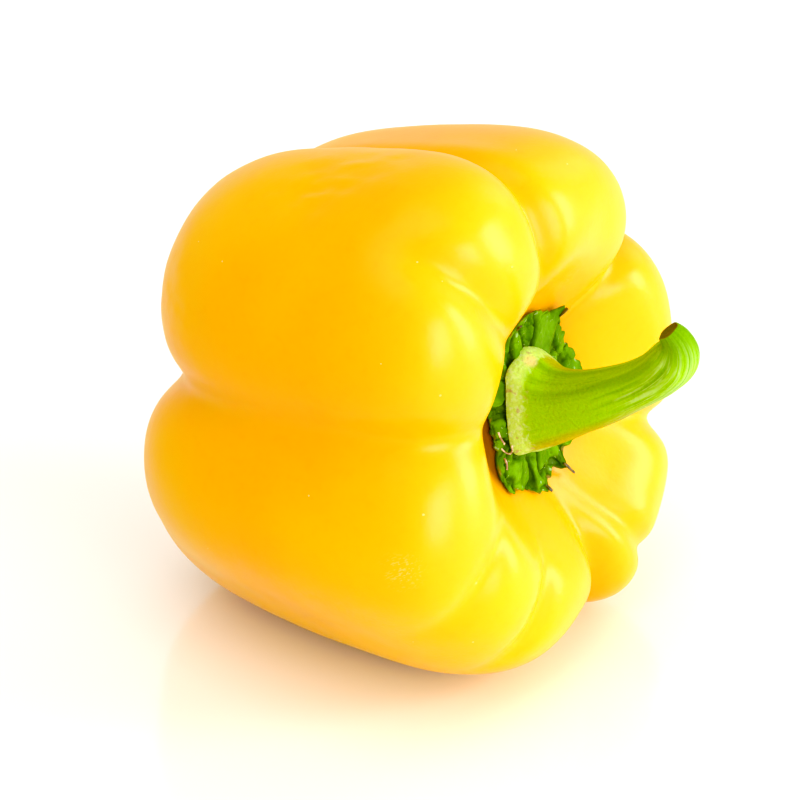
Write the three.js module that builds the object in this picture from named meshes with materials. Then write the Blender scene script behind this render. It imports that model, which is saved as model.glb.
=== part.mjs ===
// A yellow bell pepper lying on its side: the lobed fruit, the calyx in its stem hollow, and the cut stem.
// Millimetres, +Z up, origin under the middle of the part. +X runs along the fruit towards its stem.
//
// The three pieces are shaped in the fruit's own frame: z along the fruit's axis towards the stem,
// x towards the side that lies uppermost, y towards the front. Angles go round z, from x (0) to y (90).
import * as THREE from 'three';

// How the pepper lies
const AXIS_RISE = 8; // degrees that the axis rises towards the stem
const REST_DEPTH = 43.2; // from the axis middle down to the flat spots it rests on

// The fruit's body
const HALF_LENGTH = 36;
const TAPER = 0.1; // widening from the middle to the shoulder, and narrowing to the blossom end
const LOBE_BLEND = 1.8; // softness of the joins between lobes

// Each lobe is a rounded bar beside the axis. angle: where it stands. reach: its centre's distance from
// the axis. radius and side: its half widths, outwards and sideways. shoulder and tip: its two ends
// along the axis. squareness: how squarely the ends turn.
const LOBES = [
  { angle: 29, reach: 22.5, radius: 25.5, side: 28, shoulder: 38.5, tip: -30.5, squareness: 3.2 },
  { angle: 114, reach: 17, radius: 28, side: 24, shoulder: 36.5, tip: -36, squareness: 3.2 },
  { angle: 155, reach: 24, radius: 22.5, side: 25, shoulder: 38.5, tip: -41, squareness: 3 },
  { angle: 199, reach: 31, radius: 16, side: 13, shoulder: 37, tip: -27.5, squareness: 3 },
  { angle: 224, reach: 28, radius: 18, side: 21.5, shoulder: 37, tip: -32.5, squareness: 3 },
  { angle: 270, reach: 24.5, radius: 18, side: 23, shoulder: 36.5, tip: -35, squareness: 3 },
  { angle: 330, reach: 25.5, radius: 18.5, side: 20.5, shoulder: 36.5, tip: -26.5, squareness: 3 },
];

// Main furrows run the whole length, between lobes. Depths are at the shoulder, the middle and the tip.
const FURROWS = [
  { shoulderAngle: 1, tipAngle: -4, depths: [4, 2.5, 4], width: 3 },
  { shoulderAngle: 76, tipAngle: 72, depths: [3, 0.8, 4], width: 4 },
  { shoulderAngle: 190, tipAngle: 186, depths: [3, 2, 3], width: 3 },
  { shoulderAngle: 241, tipAngle: 241, depths: [3, 2, 3], width: 3 },
  { shoulderAngle: 301, tipAngle: 300, depths: [3, 2, 3], width: 3 },
];

// Shoulder creases are short: they leave the calyx and fade out above a height along the axis.
const CREASES = [
  { innerAngle: 34, outerAngle: 35, depth: 1.8, width: 3.6, from: 27 },
  { innerAngle: 115, outerAngle: 122, depth: 1.5, width: 3, from: 31 },
  { innerAngle: 155, outerAngle: 150, depth: 2, width: 3, from: 31 },
  { innerAngle: 203, outerAngle: 207, depth: 1.2, width: 2.5, from: 26 },
];
const CREASE_START = 22; // distance from the axis where a crease has its inner angle
const CREASE_RUN = 16; // further out by this, it has its outer angle
const CREASE_FADE = 3;
const CREASE_LIMITS = [-0.5, 1.5]; // how far before and past those two places it keeps turning
const FURROW_START = 9; // nearer the axis than this, furrows and creases die out

// The hollow that holds the calyx: flat in the middle, then a bowl
const HOLLOW_FLOOR = 26;
const HOLLOW_FLAT = 10;
const HOLLOW_CURVE = 0.05;
const HOLLOW_LEAN = 0.45; // how much steeper its wall is on one side, and gentler on the other
const HOLLOW_LEAN_ANGLE = 70; // where it is steepest
const HOLLOW_BLEND = 2;

// The blossom end is drawn in to a shallow dimple
const DIMPLE_DEPTH = 5;
const DIMPLE_RADIUS = 8;

// The calyx
const SEAT_GAP = 0.3; // between pieces that touch
const CALYX_CENTRE_THICKNESS = 2.2;
const CALYX_EDGE_THICKNESS = 0.9;
const CALYX_THINNING = 4; // the higher, the nearer the edge the calyx starts to thin
const CALYX_ROUNDING = 0.25; // share of the ball's half height that becomes the rounded edge
const CALYX_MARGIN = [ // angle and distance from the axis, pointed tips and the bays between them
  [4, 16.2], [12, 16.8], [18, 15.4], [27, 14.4], [39, 12.2], [54, 11], [73, 11.2], [90, 10.8],
  [103, 10.8], [117, 11], [125, 12.8], [133, 14.6], [146, 15.6], [157, 14.6], [170, 15.6], [183, 18],
  [190, 15.6], [198, 15.6], [205, 18.2], [212, 15.8], [221, 16.2], [229, 18.2], [240, 15.8],
  [264, 16.4], [280, 15.2], [292, 14.4], [306, 15], [319, 17.6], [330, 15.4], [346, 15.8],
];
const CALYX_WAVES = 7;
const CALYX_WAVE_HEIGHT = 0.35;
const CALYX_WAVE_LEAN = 4; // how far the waves bend round on their way to the edge
const CALYX_WAVE_START = 11; // clear of the stem's foot
const CALYX_WAVE_FULL = 14;

// The stem
const STEM_FOOT = HOLLOW_FLOOR + SEAT_GAP + CALYX_CENTRE_THICKNESS + SEAT_GAP;
const STEM_PATH = [ // middle of the stem from its foot to its cut end
  [0.3, 0, STEM_FOOT], [0.4, 0, 31.2], [0.8, 0, 34], [1.7, 0, 37.3], [3.1, -0.2, 41.3],
  [5, -0.5, 45.5], [6.8, -0.7, 49], [8.6, -0.8, 51.9], [10.6, -0.8, 54.3], [12.6, -0.7, 56.1],
  [14.7, -0.4, 57], [16.5, 0, 56.9], [18, 0.5, 56.1],
];
const STEM_RADII = [ // share of the length, and the shaft's radius there
  [0, 4.9], [0.35, 4.8], [0.6, 4.1], [0.72, 4.1], [0.8, 4.2], [0.87, 3.8], [0.94, 2.9], [1, 2.1],
];
const FOOT_MARGIN = [ // angle and distance from the axis, blunt corners and the flats between them
  [2, 10.3], [18, 10.1], [34, 10.4], [50, 9], [67, 8.2], [88, 8.1], [109, 8.6], [133, 9.5],
  [158, 8.9], [195, 9.8], [232, 8.7], [268, 9.6], [305, 8.8], [335, 9.1],
];
const FOOT_HEIGHT = 6; // how quickly the foot's flare narrows
const FOOT_SQUARENESS = 1.6;
const STEM_RIBS = 5;
const RIB_ANGLE = 18; // where the first rib stands
const RIB_HEIGHT = 0.03; // as a share of the radius

// Fineness of the surfaces
const FRUIT_AROUND = 64;
const FRUIT_ALONG = 40;
const CALYX_AROUND = 75;
const CALYX_ALONG = 14;
const STEM_AROUND = 32;
const STEM_ALONG = 30;
const END_ROWS = 0.19; // how much the fruit's rows crowd towards its two ends
const RAY_SPREAD = 14; // steep rays start this far along the axis, on the far side of the middle
const RAY_START = 2;
const RAY_STEP = 1;
const HALVINGS = 22;

const { degToRad, clamp } = THREE.MathUtils;
const AXIS = axisDirections(degToRad(AXIS_RISE));

function axisDirections(rise) {
  return {
    up: new THREE.Vector3(-Math.sin(rise), 0, Math.cos(rise)),
    front: new THREE.Vector3(0, -1, 0),
    along: new THREE.Vector3(Math.cos(rise), 0, Math.sin(rise)),
  };
}

// Distance of a point sideways from the half plane at an angle round the axis
function sideways(radius, angle, degrees) {
  const turn = 2 * Math.PI;
  const difference = angle - degToRad(degrees);
  const wrapped = difference - turn * Math.round(difference / turn);
  return radius * Math.sin(clamp(wrapped, -Math.PI / 2, Math.PI / 2));
}

// A valley's depth, full on its line and fading to both sides
function valley(side, depth, width) {
  return depth / (1 + (side / width) ** 2);
}

function softMax(a, b, softness) {
  const high = Math.max(a, b);
  return high + softness * Math.log1p(Math.exp(-Math.abs(a - b) / softness));
}

// About the distance outside one lobe, negative inside
function lobeDistance(lobe, x, y, z) {
  const angle = degToRad(lobe.angle);
  const outwards = (x * Math.cos(angle) + y * Math.sin(angle) - lobe.reach) / lobe.radius;
  const across = (y * Math.cos(angle) - x * Math.sin(angle)) / lobe.side;
  const middle = (lobe.shoulder + lobe.tip) / 2;
  const half = (lobe.shoulder - lobe.tip) / 2;
  const round = Math.hypot(outwards, across) ** lobe.squareness;
  const ends = Math.abs((z - middle) / half) ** lobe.squareness;
  return ((round + ends) ** (1 / lobe.squareness) - 1) * Math.min(lobe.radius, lobe.side);
}

// How fast the hollow's wall curves up at an angle
function hollowCurve(angle) {
  return HOLLOW_CURVE * (1 + HOLLOW_LEAN * Math.cos(angle - degToRad(HOLLOW_LEAN_ANGLE)));
}

function hollowHeight(radius, angle) {
  const outside = Math.max(radius - HOLLOW_FLAT, 0);
  return HOLLOW_FLOOR + hollowCurve(angle) * outside * outside;
}

// About the distance outside the fruit's skin, negative inside
function fruitDistance(x, y, z) {
  const spread = 1 + TAPER * z / HALF_LENGTH;
  let sum = 0;
  for (const lobe of LOBES) {
    sum += Math.exp(-lobeDistance(lobe, x / spread, y / spread, z) / LOBE_BLEND);
  }
  let distance = -LOBE_BLEND * Math.log(sum + Number.MIN_VALUE);

  const radius = Math.hypot(x, y);
  const angle = Math.atan2(y, x);
  const height = clamp(z / HALF_LENGTH, -1, 1);
  const fade = radius ** 2 / (radius ** 2 + FURROW_START ** 2);
  for (const furrow of FURROWS) {
    const line = THREE.MathUtils.lerp(furrow.tipAngle, furrow.shoulderAngle, (height + 1) / 2);
    const [shoulder, middle, tip] = furrow.depths;
    const end = height > 0 ? shoulder : tip;
    const depth = middle + (end - middle) * height * height;
    distance += fade * valley(sideways(radius, angle, line), depth, furrow.width);
  }
  for (const crease of CREASES) {
    const run = clamp((radius - CREASE_START) / CREASE_RUN, ...CREASE_LIMITS);
    const line = THREE.MathUtils.lerp(crease.innerAngle, crease.outerAngle, run);
    const shown = 1 / (1 + Math.exp((crease.from - z) / CREASE_FADE));
    distance += fade * shown * valley(sideways(radius, angle, line), crease.depth, crease.width);
  }

  if (z < 0) distance += DIMPLE_DEPTH * Math.exp(-((radius / DIMPLE_RADIUS) ** 2));

  const slope = 2 * hollowCurve(angle) * Math.max(radius - HOLLOW_FLAT, 0);
  const aboveHollow = (z - hollowHeight(radius, angle)) / Math.hypot(1, slope);
  distance = softMax(distance, aboveHollow, HOLLOW_BLEND);

  const restHeight = AXIS.up.z * x + AXIS.along.z * z;
  return Math.max(distance, -REST_DEPTH - restHeight);
}

// Where a ray from the axis leaves the fruit. Steep rays start beyond the middle, so that they meet
// the wall of the hollow from inside.
function skinPoint(direction) {
  const start = new THREE.Vector3(0, 0, -RAY_SPREAD * direction.z);
  const at = (length) => start.clone().addScaledVector(direction, length);
  const outside = (length) => fruitDistance(...at(length).toArray()) > 0;
  let near = RAY_START;
  let far = near + RAY_STEP;
  while (!outside(far)) {
    near = far;
    far += RAY_STEP;
  }
  for (let halving = 0; halving < HALVINGS; halving += 1) {
    const middle = (near + far) / 2;
    if (outside(middle)) far = middle;
    else near = middle;
  }
  return at(far);
}

// Moves every vertex of a geometry to where shape puts it
function reshape(geometry, shape) {
  const position = geometry.attributes.position;
  const vertex = new THREE.Vector3();
  for (let i = 0; i < position.count; i += 1) {
    vertex.fromBufferAttribute(position, i);
    position.setXYZ(i, ...shape(vertex.clone()).toArray());
  }
  geometry.computeVertexNormals();
  return geometry;
}

// The fruit: a ball whose points are pushed out to the skin, with more rows towards both ends
function fruitGeometry() {
  const ball = new THREE.SphereGeometry(1, FRUIT_AROUND, FRUIT_ALONG).rotateX(Math.PI / 2);
  return reshape(ball, (point) => {
    const angle = Math.atan2(point.y, point.x);
    const even = Math.asin(clamp(point.z, -1, 1));
    const latitude = even + END_ROWS * Math.sin(2 * even);
    const ring = Math.cos(latitude);
    const direction = new THREE.Vector3(ring * Math.cos(angle), ring * Math.sin(angle), Math.sin(latitude));
    return skinPoint(direction);
  });
}

// The value at a place in a list of [place, value] stops, straight from stop to stop
function between(stops, place) {
  const next = Math.max(stops.findIndex(([stop]) => stop >= place), 1);
  const [from, start] = stops[next - 1];
  const [to, end] = stops[next];
  return THREE.MathUtils.lerp(start, end, (place - from) / (to - from));
}

// Distance of a margin from the axis at an angle
function marginRadius(margin, angle) {
  const degrees = THREE.MathUtils.euclideanModulo(THREE.MathUtils.radToDeg(angle), 360);
  const [firstAngle, firstRadius] = margin[0];
  const [lastAngle, lastRadius] = margin.at(-1);
  const round = [[lastAngle - 360, lastRadius], ...margin, [firstAngle + 360, firstRadius]];
  return between(round, degrees);
}

// The calyx: a flattened ball. Its lower half lies in the hollow and its upper half is the waved top.
function calyxGeometry() {
  const ball = new THREE.SphereGeometry(1, CALYX_AROUND, CALYX_ALONG).rotateX(Math.PI / 2);
  return reshape(ball, (point) => {
    const angle = Math.atan2(point.y, point.x);
    const share = Math.min(Math.hypot(point.x, point.y), 1);
    const radius = share * marginRadius(CALYX_MARGIN, angle);
    const seat = hollowHeight(radius, angle) + SEAT_GAP;
    const thinned = share ** CALYX_THINNING;
    const body = THREE.MathUtils.lerp(CALYX_CENTRE_THICKNESS, CALYX_EDGE_THICKNESS, thinned);
    const waved = THREE.MathUtils.smoothstep(radius, CALYX_WAVE_START, CALYX_WAVE_FULL);
    const phase = CALYX_WAVES * angle + CALYX_WAVE_LEAN * share;
    const wave = CALYX_WAVE_HEIGHT * waved * (1 + Math.sin(phase));
    const side = clamp(point.z / CALYX_ROUNDING, -1, 1);
    const thickness = (body + wave) * (side + 1) / 2;
    return new THREE.Vector3(radius * Math.cos(angle), radius * Math.sin(angle), seat + thickness);
  });
}

// The stem: a ribbed bar bent along its path, with a flare to the blunt corners of its foot and a
// hooked end that narrows to the cut. Its rings start at the side away from the front.
function stemGeometry() {
  const points = STEM_PATH.map((place) => new THREE.Vector3(...place));
  const path = new THREE.CatmullRomCurve3(points, false, 'centripetal');
  const frames = path.computeFrenetFrames(STEM_ALONG, false);
  const length = path.getLength();
  const bar = new THREE.CylinderGeometry(1, 1, 1, STEM_AROUND, STEM_ALONG).rotateX(Math.PI / 2);
  return reshape(bar, (point) => {
    const share = clamp(point.z + 0.5, 0, 1);
    const ring = Math.round(share * STEM_ALONG);
    const angle = Math.atan2(point.y, point.x);
    const flare = Math.exp(-((share * length / FOOT_HEIGHT) ** FOOT_SQUARENESS));
    const turn = angle - Math.PI / 2;
    const rib = 1 + RIB_HEIGHT * Math.cos(STEM_RIBS * (turn - degToRad(RIB_ANGLE)));
    const shaft = between(STEM_RADII, share) * rib;
    const radius = THREE.MathUtils.lerp(shaft, marginRadius(FOOT_MARGIN, turn), flare);
    const reach = radius * Math.min(Math.hypot(point.x, point.y), 1);
    return path.getPointAt(share)
      .addScaledVector(frames.normals[ring], reach * Math.cos(angle))
      .addScaledVector(frames.binormals[ring], reach * Math.sin(angle));
  });
}

function piece(name, geometry, color, roughness) {
  const material = new THREE.MeshStandardMaterial({ color, roughness, metalness: 0 });
  const mesh = new THREE.Mesh(geometry, material);
  mesh.name = name;
  return mesh;
}

const lying = new THREE.Group();
lying.add(piece('fruit', fruitGeometry(), '#ffd21a', 0.25));
lying.add(piece('calyx', calyxGeometry(), '#3f8a1c', 0.45));
lying.add(piece('stem', stemGeometry(), '#9cc21f', 0.5));
const turned = new THREE.Matrix4().makeBasis(AXIS.up, AXIS.front, AXIS.along);
lying.quaternion.setFromRotationMatrix(turned);

// The middle of the whole part's base comes to the origin
lying.updateMatrixWorld(true);
const box = new THREE.Box3().setFromObject(lying, true);
const middle = box.getCenter(new THREE.Vector3());
lying.position.set(-middle.x, -middle.y, -box.min.z);

const pepper = new THREE.Group();
pepper.add(lying);

export default pepper;
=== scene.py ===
# %% [markdown]
# # A yellow bell pepper, lying on its side
# A bell pepper is three things grown together: a hollow fruit with lobes and furrows, a leathery
# green calyx sunk in the hollow at its top, and the ribbed stem that it was cut from the plant by.
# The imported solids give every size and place. This lesson puts a fine surface over each of them,
# and then the skin, the light and the camera.

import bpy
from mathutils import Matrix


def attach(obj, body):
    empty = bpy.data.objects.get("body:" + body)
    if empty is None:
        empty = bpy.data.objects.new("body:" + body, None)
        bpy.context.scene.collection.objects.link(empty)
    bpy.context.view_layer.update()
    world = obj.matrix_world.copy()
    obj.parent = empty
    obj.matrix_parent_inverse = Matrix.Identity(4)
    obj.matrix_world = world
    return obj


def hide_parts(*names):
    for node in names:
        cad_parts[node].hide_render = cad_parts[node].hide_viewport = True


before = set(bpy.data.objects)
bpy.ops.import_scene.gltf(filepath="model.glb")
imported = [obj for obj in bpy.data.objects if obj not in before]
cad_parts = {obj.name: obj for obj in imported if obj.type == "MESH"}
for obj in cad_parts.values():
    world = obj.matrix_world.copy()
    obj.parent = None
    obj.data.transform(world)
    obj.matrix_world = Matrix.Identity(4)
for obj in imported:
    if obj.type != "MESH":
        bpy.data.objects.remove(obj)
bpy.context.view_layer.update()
print("solids", sorted(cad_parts))

import bpy
import numpy as np
from mathutils import Vector

# %% [markdown]
# ## The fruit's own frame
# A pepper is easiest to describe standing on its blossom end: height runs along its axis, and
# angles go round the axis. So every piece is shaped in that frame, in millimetres: x towards the
# side that lies uppermost, y towards the front, z towards the stem. One function then lays it
# down, with the axis rising 8 degrees, and turns millimetres into Blender's metres.

# %% From the fruit's frame to the part's frame
MM = 0.001
AXIS_RISE = np.radians(8)
AXIS_MIDDLE = np.array([-9.995, 0.14, 43.2])  # where the middle of the axis lies, in millimetres
UPWARDS = np.array([-np.sin(AXIS_RISE), 0, np.cos(AXIS_RISE)])
FRONTWARDS = np.array([0.0, -1, 0])
STEMWARDS = np.array([np.cos(AXIS_RISE), 0, np.sin(AXIS_RISE)])
LYING = np.stack([UPWARDS, FRONTWARDS, STEMWARDS])


def lay_down(points):
    """Points in the fruit's frame, in millimetres, to the part's frame, in metres."""
    return (np.asarray(points, float) @ LYING + AXIS_MIDDLE) * MM


print("the stem points along", STEMWARDS.round(3))

# %% [markdown]
# ## Meshes from rows of points
# The fruit and the calyx are closed skins. A ball of rows, with one point at each pole, closes on
# itself, so nothing has to be sealed afterwards. Its faces are wound so that they point outwards.


# %% A closed ball of rows
def ball_faces(rows, around):
    """Faces of a first pole, then rows of points, then a last pole."""
    here = np.arange(around)
    following = (here + 1) % around
    faces = []
    for row in range(rows - 1):
        low = 1 + row * around
        high = low + around
        band = [low + here, low + following, high + following, high + here]
        faces += np.stack(band, axis=1).tolist()
    last = 1 + rows * around
    top = last - around
    faces += [[0, 1 + b, 1 + a] for a, b in zip(here.tolist(), following.tolist())]
    faces += [[last, top + a, top + b] for a, b in zip(here.tolist(), following.tolist())]
    return faces


def make_piece(name, points, edges, faces):
    """An object whose place is in its mesh. Points are in the fruit's frame."""
    mesh = bpy.data.meshes.new(name)
    mesh.from_pydata(lay_down(points).tolist(), edges, faces)
    mesh.shade_smooth()
    made = bpy.data.objects.new(name, mesh)
    bpy.context.scene.collection.objects.link(made)
    return made


def paint_points(piece, name, values):
    """Stores one number for each point of a mesh, for its material or its nodes to read."""
    attribute = piece.data.attributes.new(name, "FLOAT", "POINT")
    attribute.data.foreach_set("value", np.asarray(values, np.float32))


# %% [markdown]
# ## Geometry Nodes, built in code
# Ribs, fibres, wrinkles and specks repeat over a surface, so nodes make them. Each tree has named
# inputs for its sizes. The helpers below add nodes, join sockets and do sums, and `grow` runs a
# finished tree on a piece and keeps the result as a plain mesh.


# %% Helpers for node trees
def add_node(tree, kind, **settings):
    made = tree.nodes.new(kind)
    for name, value in settings.items():
        setattr(made, name, value)
    return made


def plug(tree, value, socket):
    """Gives a socket its value: another node's output, or a plain number, vector or material."""
    if isinstance(value, bpy.types.NodeSocket):
        tree.links.new(value, socket)
    else:
        socket.default_value = value


def sum_node(tree, operation, *values):
    """One Math node, and its output."""
    made = add_node(tree, "ShaderNodeMath", operation=operation)
    for value, socket in zip(values, made.inputs):
        plug(tree, value, socket)
    return made.outputs[0]


def times(tree, first, second):
    return sum_node(tree, "MULTIPLY", first, second)


def vector_node(tree, operation, *values):
    """One Vector Math node, and its output."""
    made = add_node(tree, "ShaderNodeVectorMath", operation=operation)
    for value, socket in zip(values, made.inputs):
        plug(tree, value, socket)
    return made.outputs["Value" if operation in ("DOT_PRODUCT", "DISTANCE") else "Vector"]


def scale_vector(tree, vector, factor):
    made = add_node(tree, "ShaderNodeVectorMath", operation="SCALE")
    plug(tree, vector, made.inputs[0])
    plug(tree, factor, made.inputs["Scale"])
    return made.outputs["Vector"]


def join_numbers(tree, *numbers):
    """A vector from three numbers."""
    made = add_node(tree, "ShaderNodeCombineXYZ")
    for number, socket in zip(numbers, made.inputs):
        plug(tree, number, socket)
    return made.outputs[0]


def blend_numbers(tree, share, low, high):
    made = add_node(tree, "ShaderNodeMix", data_type="FLOAT")
    for value, socket in zip((share, low, high), (made.inputs[0], made.inputs[2], made.inputs[3])):
        plug(tree, value, socket)
    return made.outputs[0]


def step_between(tree, value, low, high):
    """0 below low, 1 above high, and smooth between."""
    made = add_node(tree, "ShaderNodeMapRange", interpolation_type="SMOOTHSTEP")
    for given, socket in zip((value, low, high), made.inputs):
        plug(tree, given, socket)
    return made.outputs[0]


def noise(tree, place, spacing, detail=2.0, roughness=0.5):
    """Smooth noise from 0 to 1 whose lumps are about this far apart."""
    made = add_node(tree, "ShaderNodeTexNoise", noise_dimensions="3D")
    plug(tree, place, made.inputs["Vector"])
    plug(tree, sum_node(tree, "DIVIDE", 1.0, spacing), made.inputs["Scale"])
    made.inputs["Detail"].default_value = detail
    made.inputs["Roughness"].default_value = roughness
    return made.outputs[0]


# %% Starting, ending and running a tree
def start_tree(name, sizes):
    """A tree with one geometry input and a named number for each size."""
    tree = bpy.data.node_groups.new(name, "GeometryNodeTree")
    tree.interface.new_socket("Geometry", in_out="INPUT", socket_type="NodeSocketGeometry")
    for label, value in sizes.items():
        kind = "NodeSocketInt" if isinstance(value, int) else "NodeSocketFloat"
        socket = tree.interface.new_socket(label, in_out="INPUT", socket_type=kind)
        socket.default_value = value
    tree.interface.new_socket("Geometry", in_out="OUTPUT", socket_type="NodeSocketGeometry")
    return tree, add_node(tree, "NodeGroupInput").outputs


def end_tree(tree, geometry, finish):
    """Every tree ends alike: instances made real, then the finish."""
    real = add_node(tree, "GeometryNodeRealizeInstances")
    dress = add_node(tree, "GeometryNodeSetMaterial")
    result = add_node(tree, "NodeGroupOutput")
    plug(tree, geometry, real.inputs["Geometry"])
    plug(tree, real.outputs["Geometry"], dress.inputs["Geometry"])
    plug(tree, finish, dress.inputs["Material"])
    plug(tree, dress.outputs["Geometry"], result.inputs["Geometry"])


def grow(piece, tree, **sizes):
    """Runs a tree on a piece with these sizes, and keeps the result as its plain mesh."""
    modifier = piece.modifiers.new(tree.name, "NODES")
    modifier.node_group = tree
    for item in tree.interface.items_tree:
        if item.in_out == "INPUT" and item.name in sizes:
            modifier[item.identifier] = sizes[item.name]
    graph = bpy.context.evaluated_depsgraph_get()
    grown = bpy.data.meshes.new_from_object(
        piece.evaluated_get(graph), preserve_all_data_layers=True, depsgraph=graph
    )
    piece.modifiers.clear()
    piece.data = grown
    piece.data.name = piece.name
    return piece


# %% Reading, storing and moving inside a tree
def read_point(tree, name, kind="FLOAT"):
    """What each point has stored under a name."""
    made = add_node(tree, "GeometryNodeInputNamedAttribute", data_type=kind)
    made.inputs["Name"].default_value = name
    return made.outputs["Attribute"]


def store(tree, geometry, name, value, kind="FLOAT", chosen=True):
    made = add_node(tree, "GeometryNodeStoreNamedAttribute", data_type=kind, domain="POINT")
    made.inputs["Name"].default_value = name
    plug(tree, geometry, made.inputs["Geometry"])
    plug(tree, chosen, made.inputs["Selection"])
    plug(tree, value, made.inputs["Value"])
    return made.outputs["Geometry"]


def point_place(tree):
    return add_node(tree, "GeometryNodeInputPosition").outputs[0]


def push_along_normal(tree, geometry, distance):
    """Moves every point along its normal by a distance."""
    normal = add_node(tree, "GeometryNodeInputNormal").outputs[0]
    moved = add_node(tree, "GeometryNodeSetPosition")
    plug(tree, geometry, moved.inputs["Geometry"])
    plug(tree, scale_vector(tree, normal, distance), moved.inputs["Offset"])
    return moved.outputs["Geometry"]


def smooth_path(tree, geometry, steps):
    """A smooth curve through a mesh's line of points, cut into even steps."""
    line = add_node(tree, "GeometryNodeMeshToCurve")
    plug(tree, geometry, line.inputs[0])
    bent = add_node(tree, "GeometryNodeCurveSplineType", spline_type="CATMULL_ROM")
    plug(tree, line.outputs[0], bent.inputs["Curve"])
    even = add_node(tree, "GeometryNodeResampleCurve")
    plug(tree, bent.outputs[0], even.inputs["Curve"])
    plug(tree, steps, even.inputs["Count"])
    return even.outputs[0]


# %% [markdown]
# ## Shader helpers
# Every finish here is worked out from a point's place on the object and from numbers stored on
# the mesh, such as how deep it lies in a furrow. No finish reads where the camera stands.


# %% Helpers for finishes
def new_finish(name):
    """A material, its node tree and its main shader."""
    material = bpy.data.materials.new(name)
    material.use_nodes = True
    tree = material.node_tree
    return material, tree, tree.nodes["Principled BSDF"]


def object_place(tree):
    return add_node(tree, "ShaderNodeTexCoord").outputs["Object"]


def stored(tree, name):
    """A stored number, inside a material."""
    return add_node(tree, "ShaderNodeAttribute", attribute_name=name).outputs["Fac"]


def blend_colours(tree, share, under, over):
    made = add_node(tree, "ShaderNodeMix", data_type="RGBA")
    for value, socket in zip((share, under, over), (made.inputs[0], made.inputs[6], made.inputs[7])):
        plug(tree, (*value, 1) if isinstance(value, tuple) else value, socket)
    return made.outputs[2]


def near_spot(tree, place, spot, reach):
    """1 at a spot in the fruit's frame, fading to 0 at this many millimetres from it."""
    away = vector_node(tree, "DISTANCE", place, tuple(lay_down(spot)))
    return step_between(tree, away, reach * MM, 0.0)


def streaks(tree, place, direction, length, spacing):
    """Noise drawn out along a direction in the fruit's frame, with lengths in millimetres."""
    along = tuple(np.array(direction) / np.linalg.norm(direction) @ LYING)
    run = vector_node(tree, "DOT_PRODUCT", place, along)
    shrink = times(tree, run, spacing / length - 1)
    drawn = vector_node(tree, "ADD", place, scale_vector(tree, along, shrink))
    return noise(tree, drawn, spacing * MM, detail=3.0)


def patches(tree, place, spacing, start, full, detail=3.0):
    """Patches of noise: 0 where it is below the start, 1 where it is above the full value."""
    return step_between(tree, noise(tree, place, spacing, detail=detail), start, full)


def lay_over(tree, colour, share, strength, over):
    """Lays a colour over another where a share is high, with this strength."""
    return blend_colours(tree, times(tree, share, strength), colour, over)


def set_inputs(shader, inputs):
    """Sets the shader's plain inputs by their names."""
    for name, value in inputs.items():
        shader.inputs[name].default_value = value


def add_bump(tree, shader, height, depth):
    """Relief too fine for the mesh, depth in metres."""
    made = add_node(tree, "ShaderNodeBump")
    made.inputs["Distance"].default_value = depth
    plug(tree, height, made.inputs["Height"])
    plug(tree, made.outputs["Normal"], shader.inputs["Normal"])


# %% [markdown]
# ## The fruit's shape as one rule
# A blocky pepper has seven swellings: each is a rounded bar beside the axis. They are joined by a
# soft union, which rounds the joins just as flesh does. Furrows are valleys cut along the joins,
# creases are short valleys that leave the calyx, and the stem hollow is a bowl. Modelling the
# lobes by hand would be slower, and the furrows would wander.

# %% Swellings, furrows and creases
HALF_LENGTH = 36.0
TAPER = 0.1
LOBE_BLEND = 1.8
LOBES = [  # angle, reach, radius, side, shoulder, tip, squareness
    (29, 22.5, 25.5, 28, 38.5, -30.5, 3.2),
    (114, 17, 28, 24, 36.5, -36, 3.2),
    (155, 24, 22.5, 25, 38.5, -41, 3),
    (199, 31, 16, 13, 37, -27.5, 3),
    (224, 28, 18, 21.5, 37, -32.5, 3),
    (270, 24.5, 18, 23, 36.5, -35, 3),
    (330, 25.5, 18.5, 20.5, 36.5, -26.5, 3),
]
FURROWS = [  # angle at the shoulder and at the tip, depth at shoulder, middle and tip, width
    (1, -4, 4, 2.5, 4, 3),
    (76, 72, 3, 0.8, 4, 4),
    (190, 186, 3, 2, 3, 3),
    (241, 241, 3, 2, 3, 3),
    (301, 300, 3, 2, 3, 3),
]
CREASES = [  # angle at the calyx and further out, depth, width, lowest height
    (34, 35, 3.0, 3.6, 27),
    (115, 122, 1.5, 3, 31),
    (155, 150, 2, 3, 31),
    (203, 207, 1.2, 2.5, 26),
]
CREASE_START = 22.0
CREASE_RUN = 16.0
CREASE_LIMITS = (-0.5, 1.5)
CREASE_FADE = 3.0
FURROW_START = 9.0
REST_DEPTH = 43.2
print(len(LOBES), "swellings,", len(FURROWS), "furrows,", len(CREASES), "creases")


# %% One swelling, and one valley
def lobe_distance(lobe, x, y, z):
    """About how far points lie outside one swelling, in millimetres, negative inside."""
    angle, reach, radius, side, shoulder, tip, squareness = lobe
    turn = np.radians(angle)
    outwards = (x * np.cos(turn) + y * np.sin(turn) - reach) / radius
    across = (y * np.cos(turn) - x * np.sin(turn)) / side
    ends = np.abs((z - (shoulder + tip) / 2) / ((shoulder - tip) / 2)) ** squareness
    total = np.hypot(outwards, across) ** squareness + ends
    return (total ** (1 / squareness) - 1) * min(radius, side)


def valley(radius, angle, degrees, width):
    """1 along a line that leaves the axis at an angle, fading to 0 at both sides."""
    apart = angle - np.radians(degrees)
    wrapped = apart - 2 * np.pi * np.round(apart / (2 * np.pi))
    side = radius * np.sin(np.clip(wrapped, -np.pi / 2, np.pi / 2))
    return 1 / (1 + (side / width) ** 2)


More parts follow.
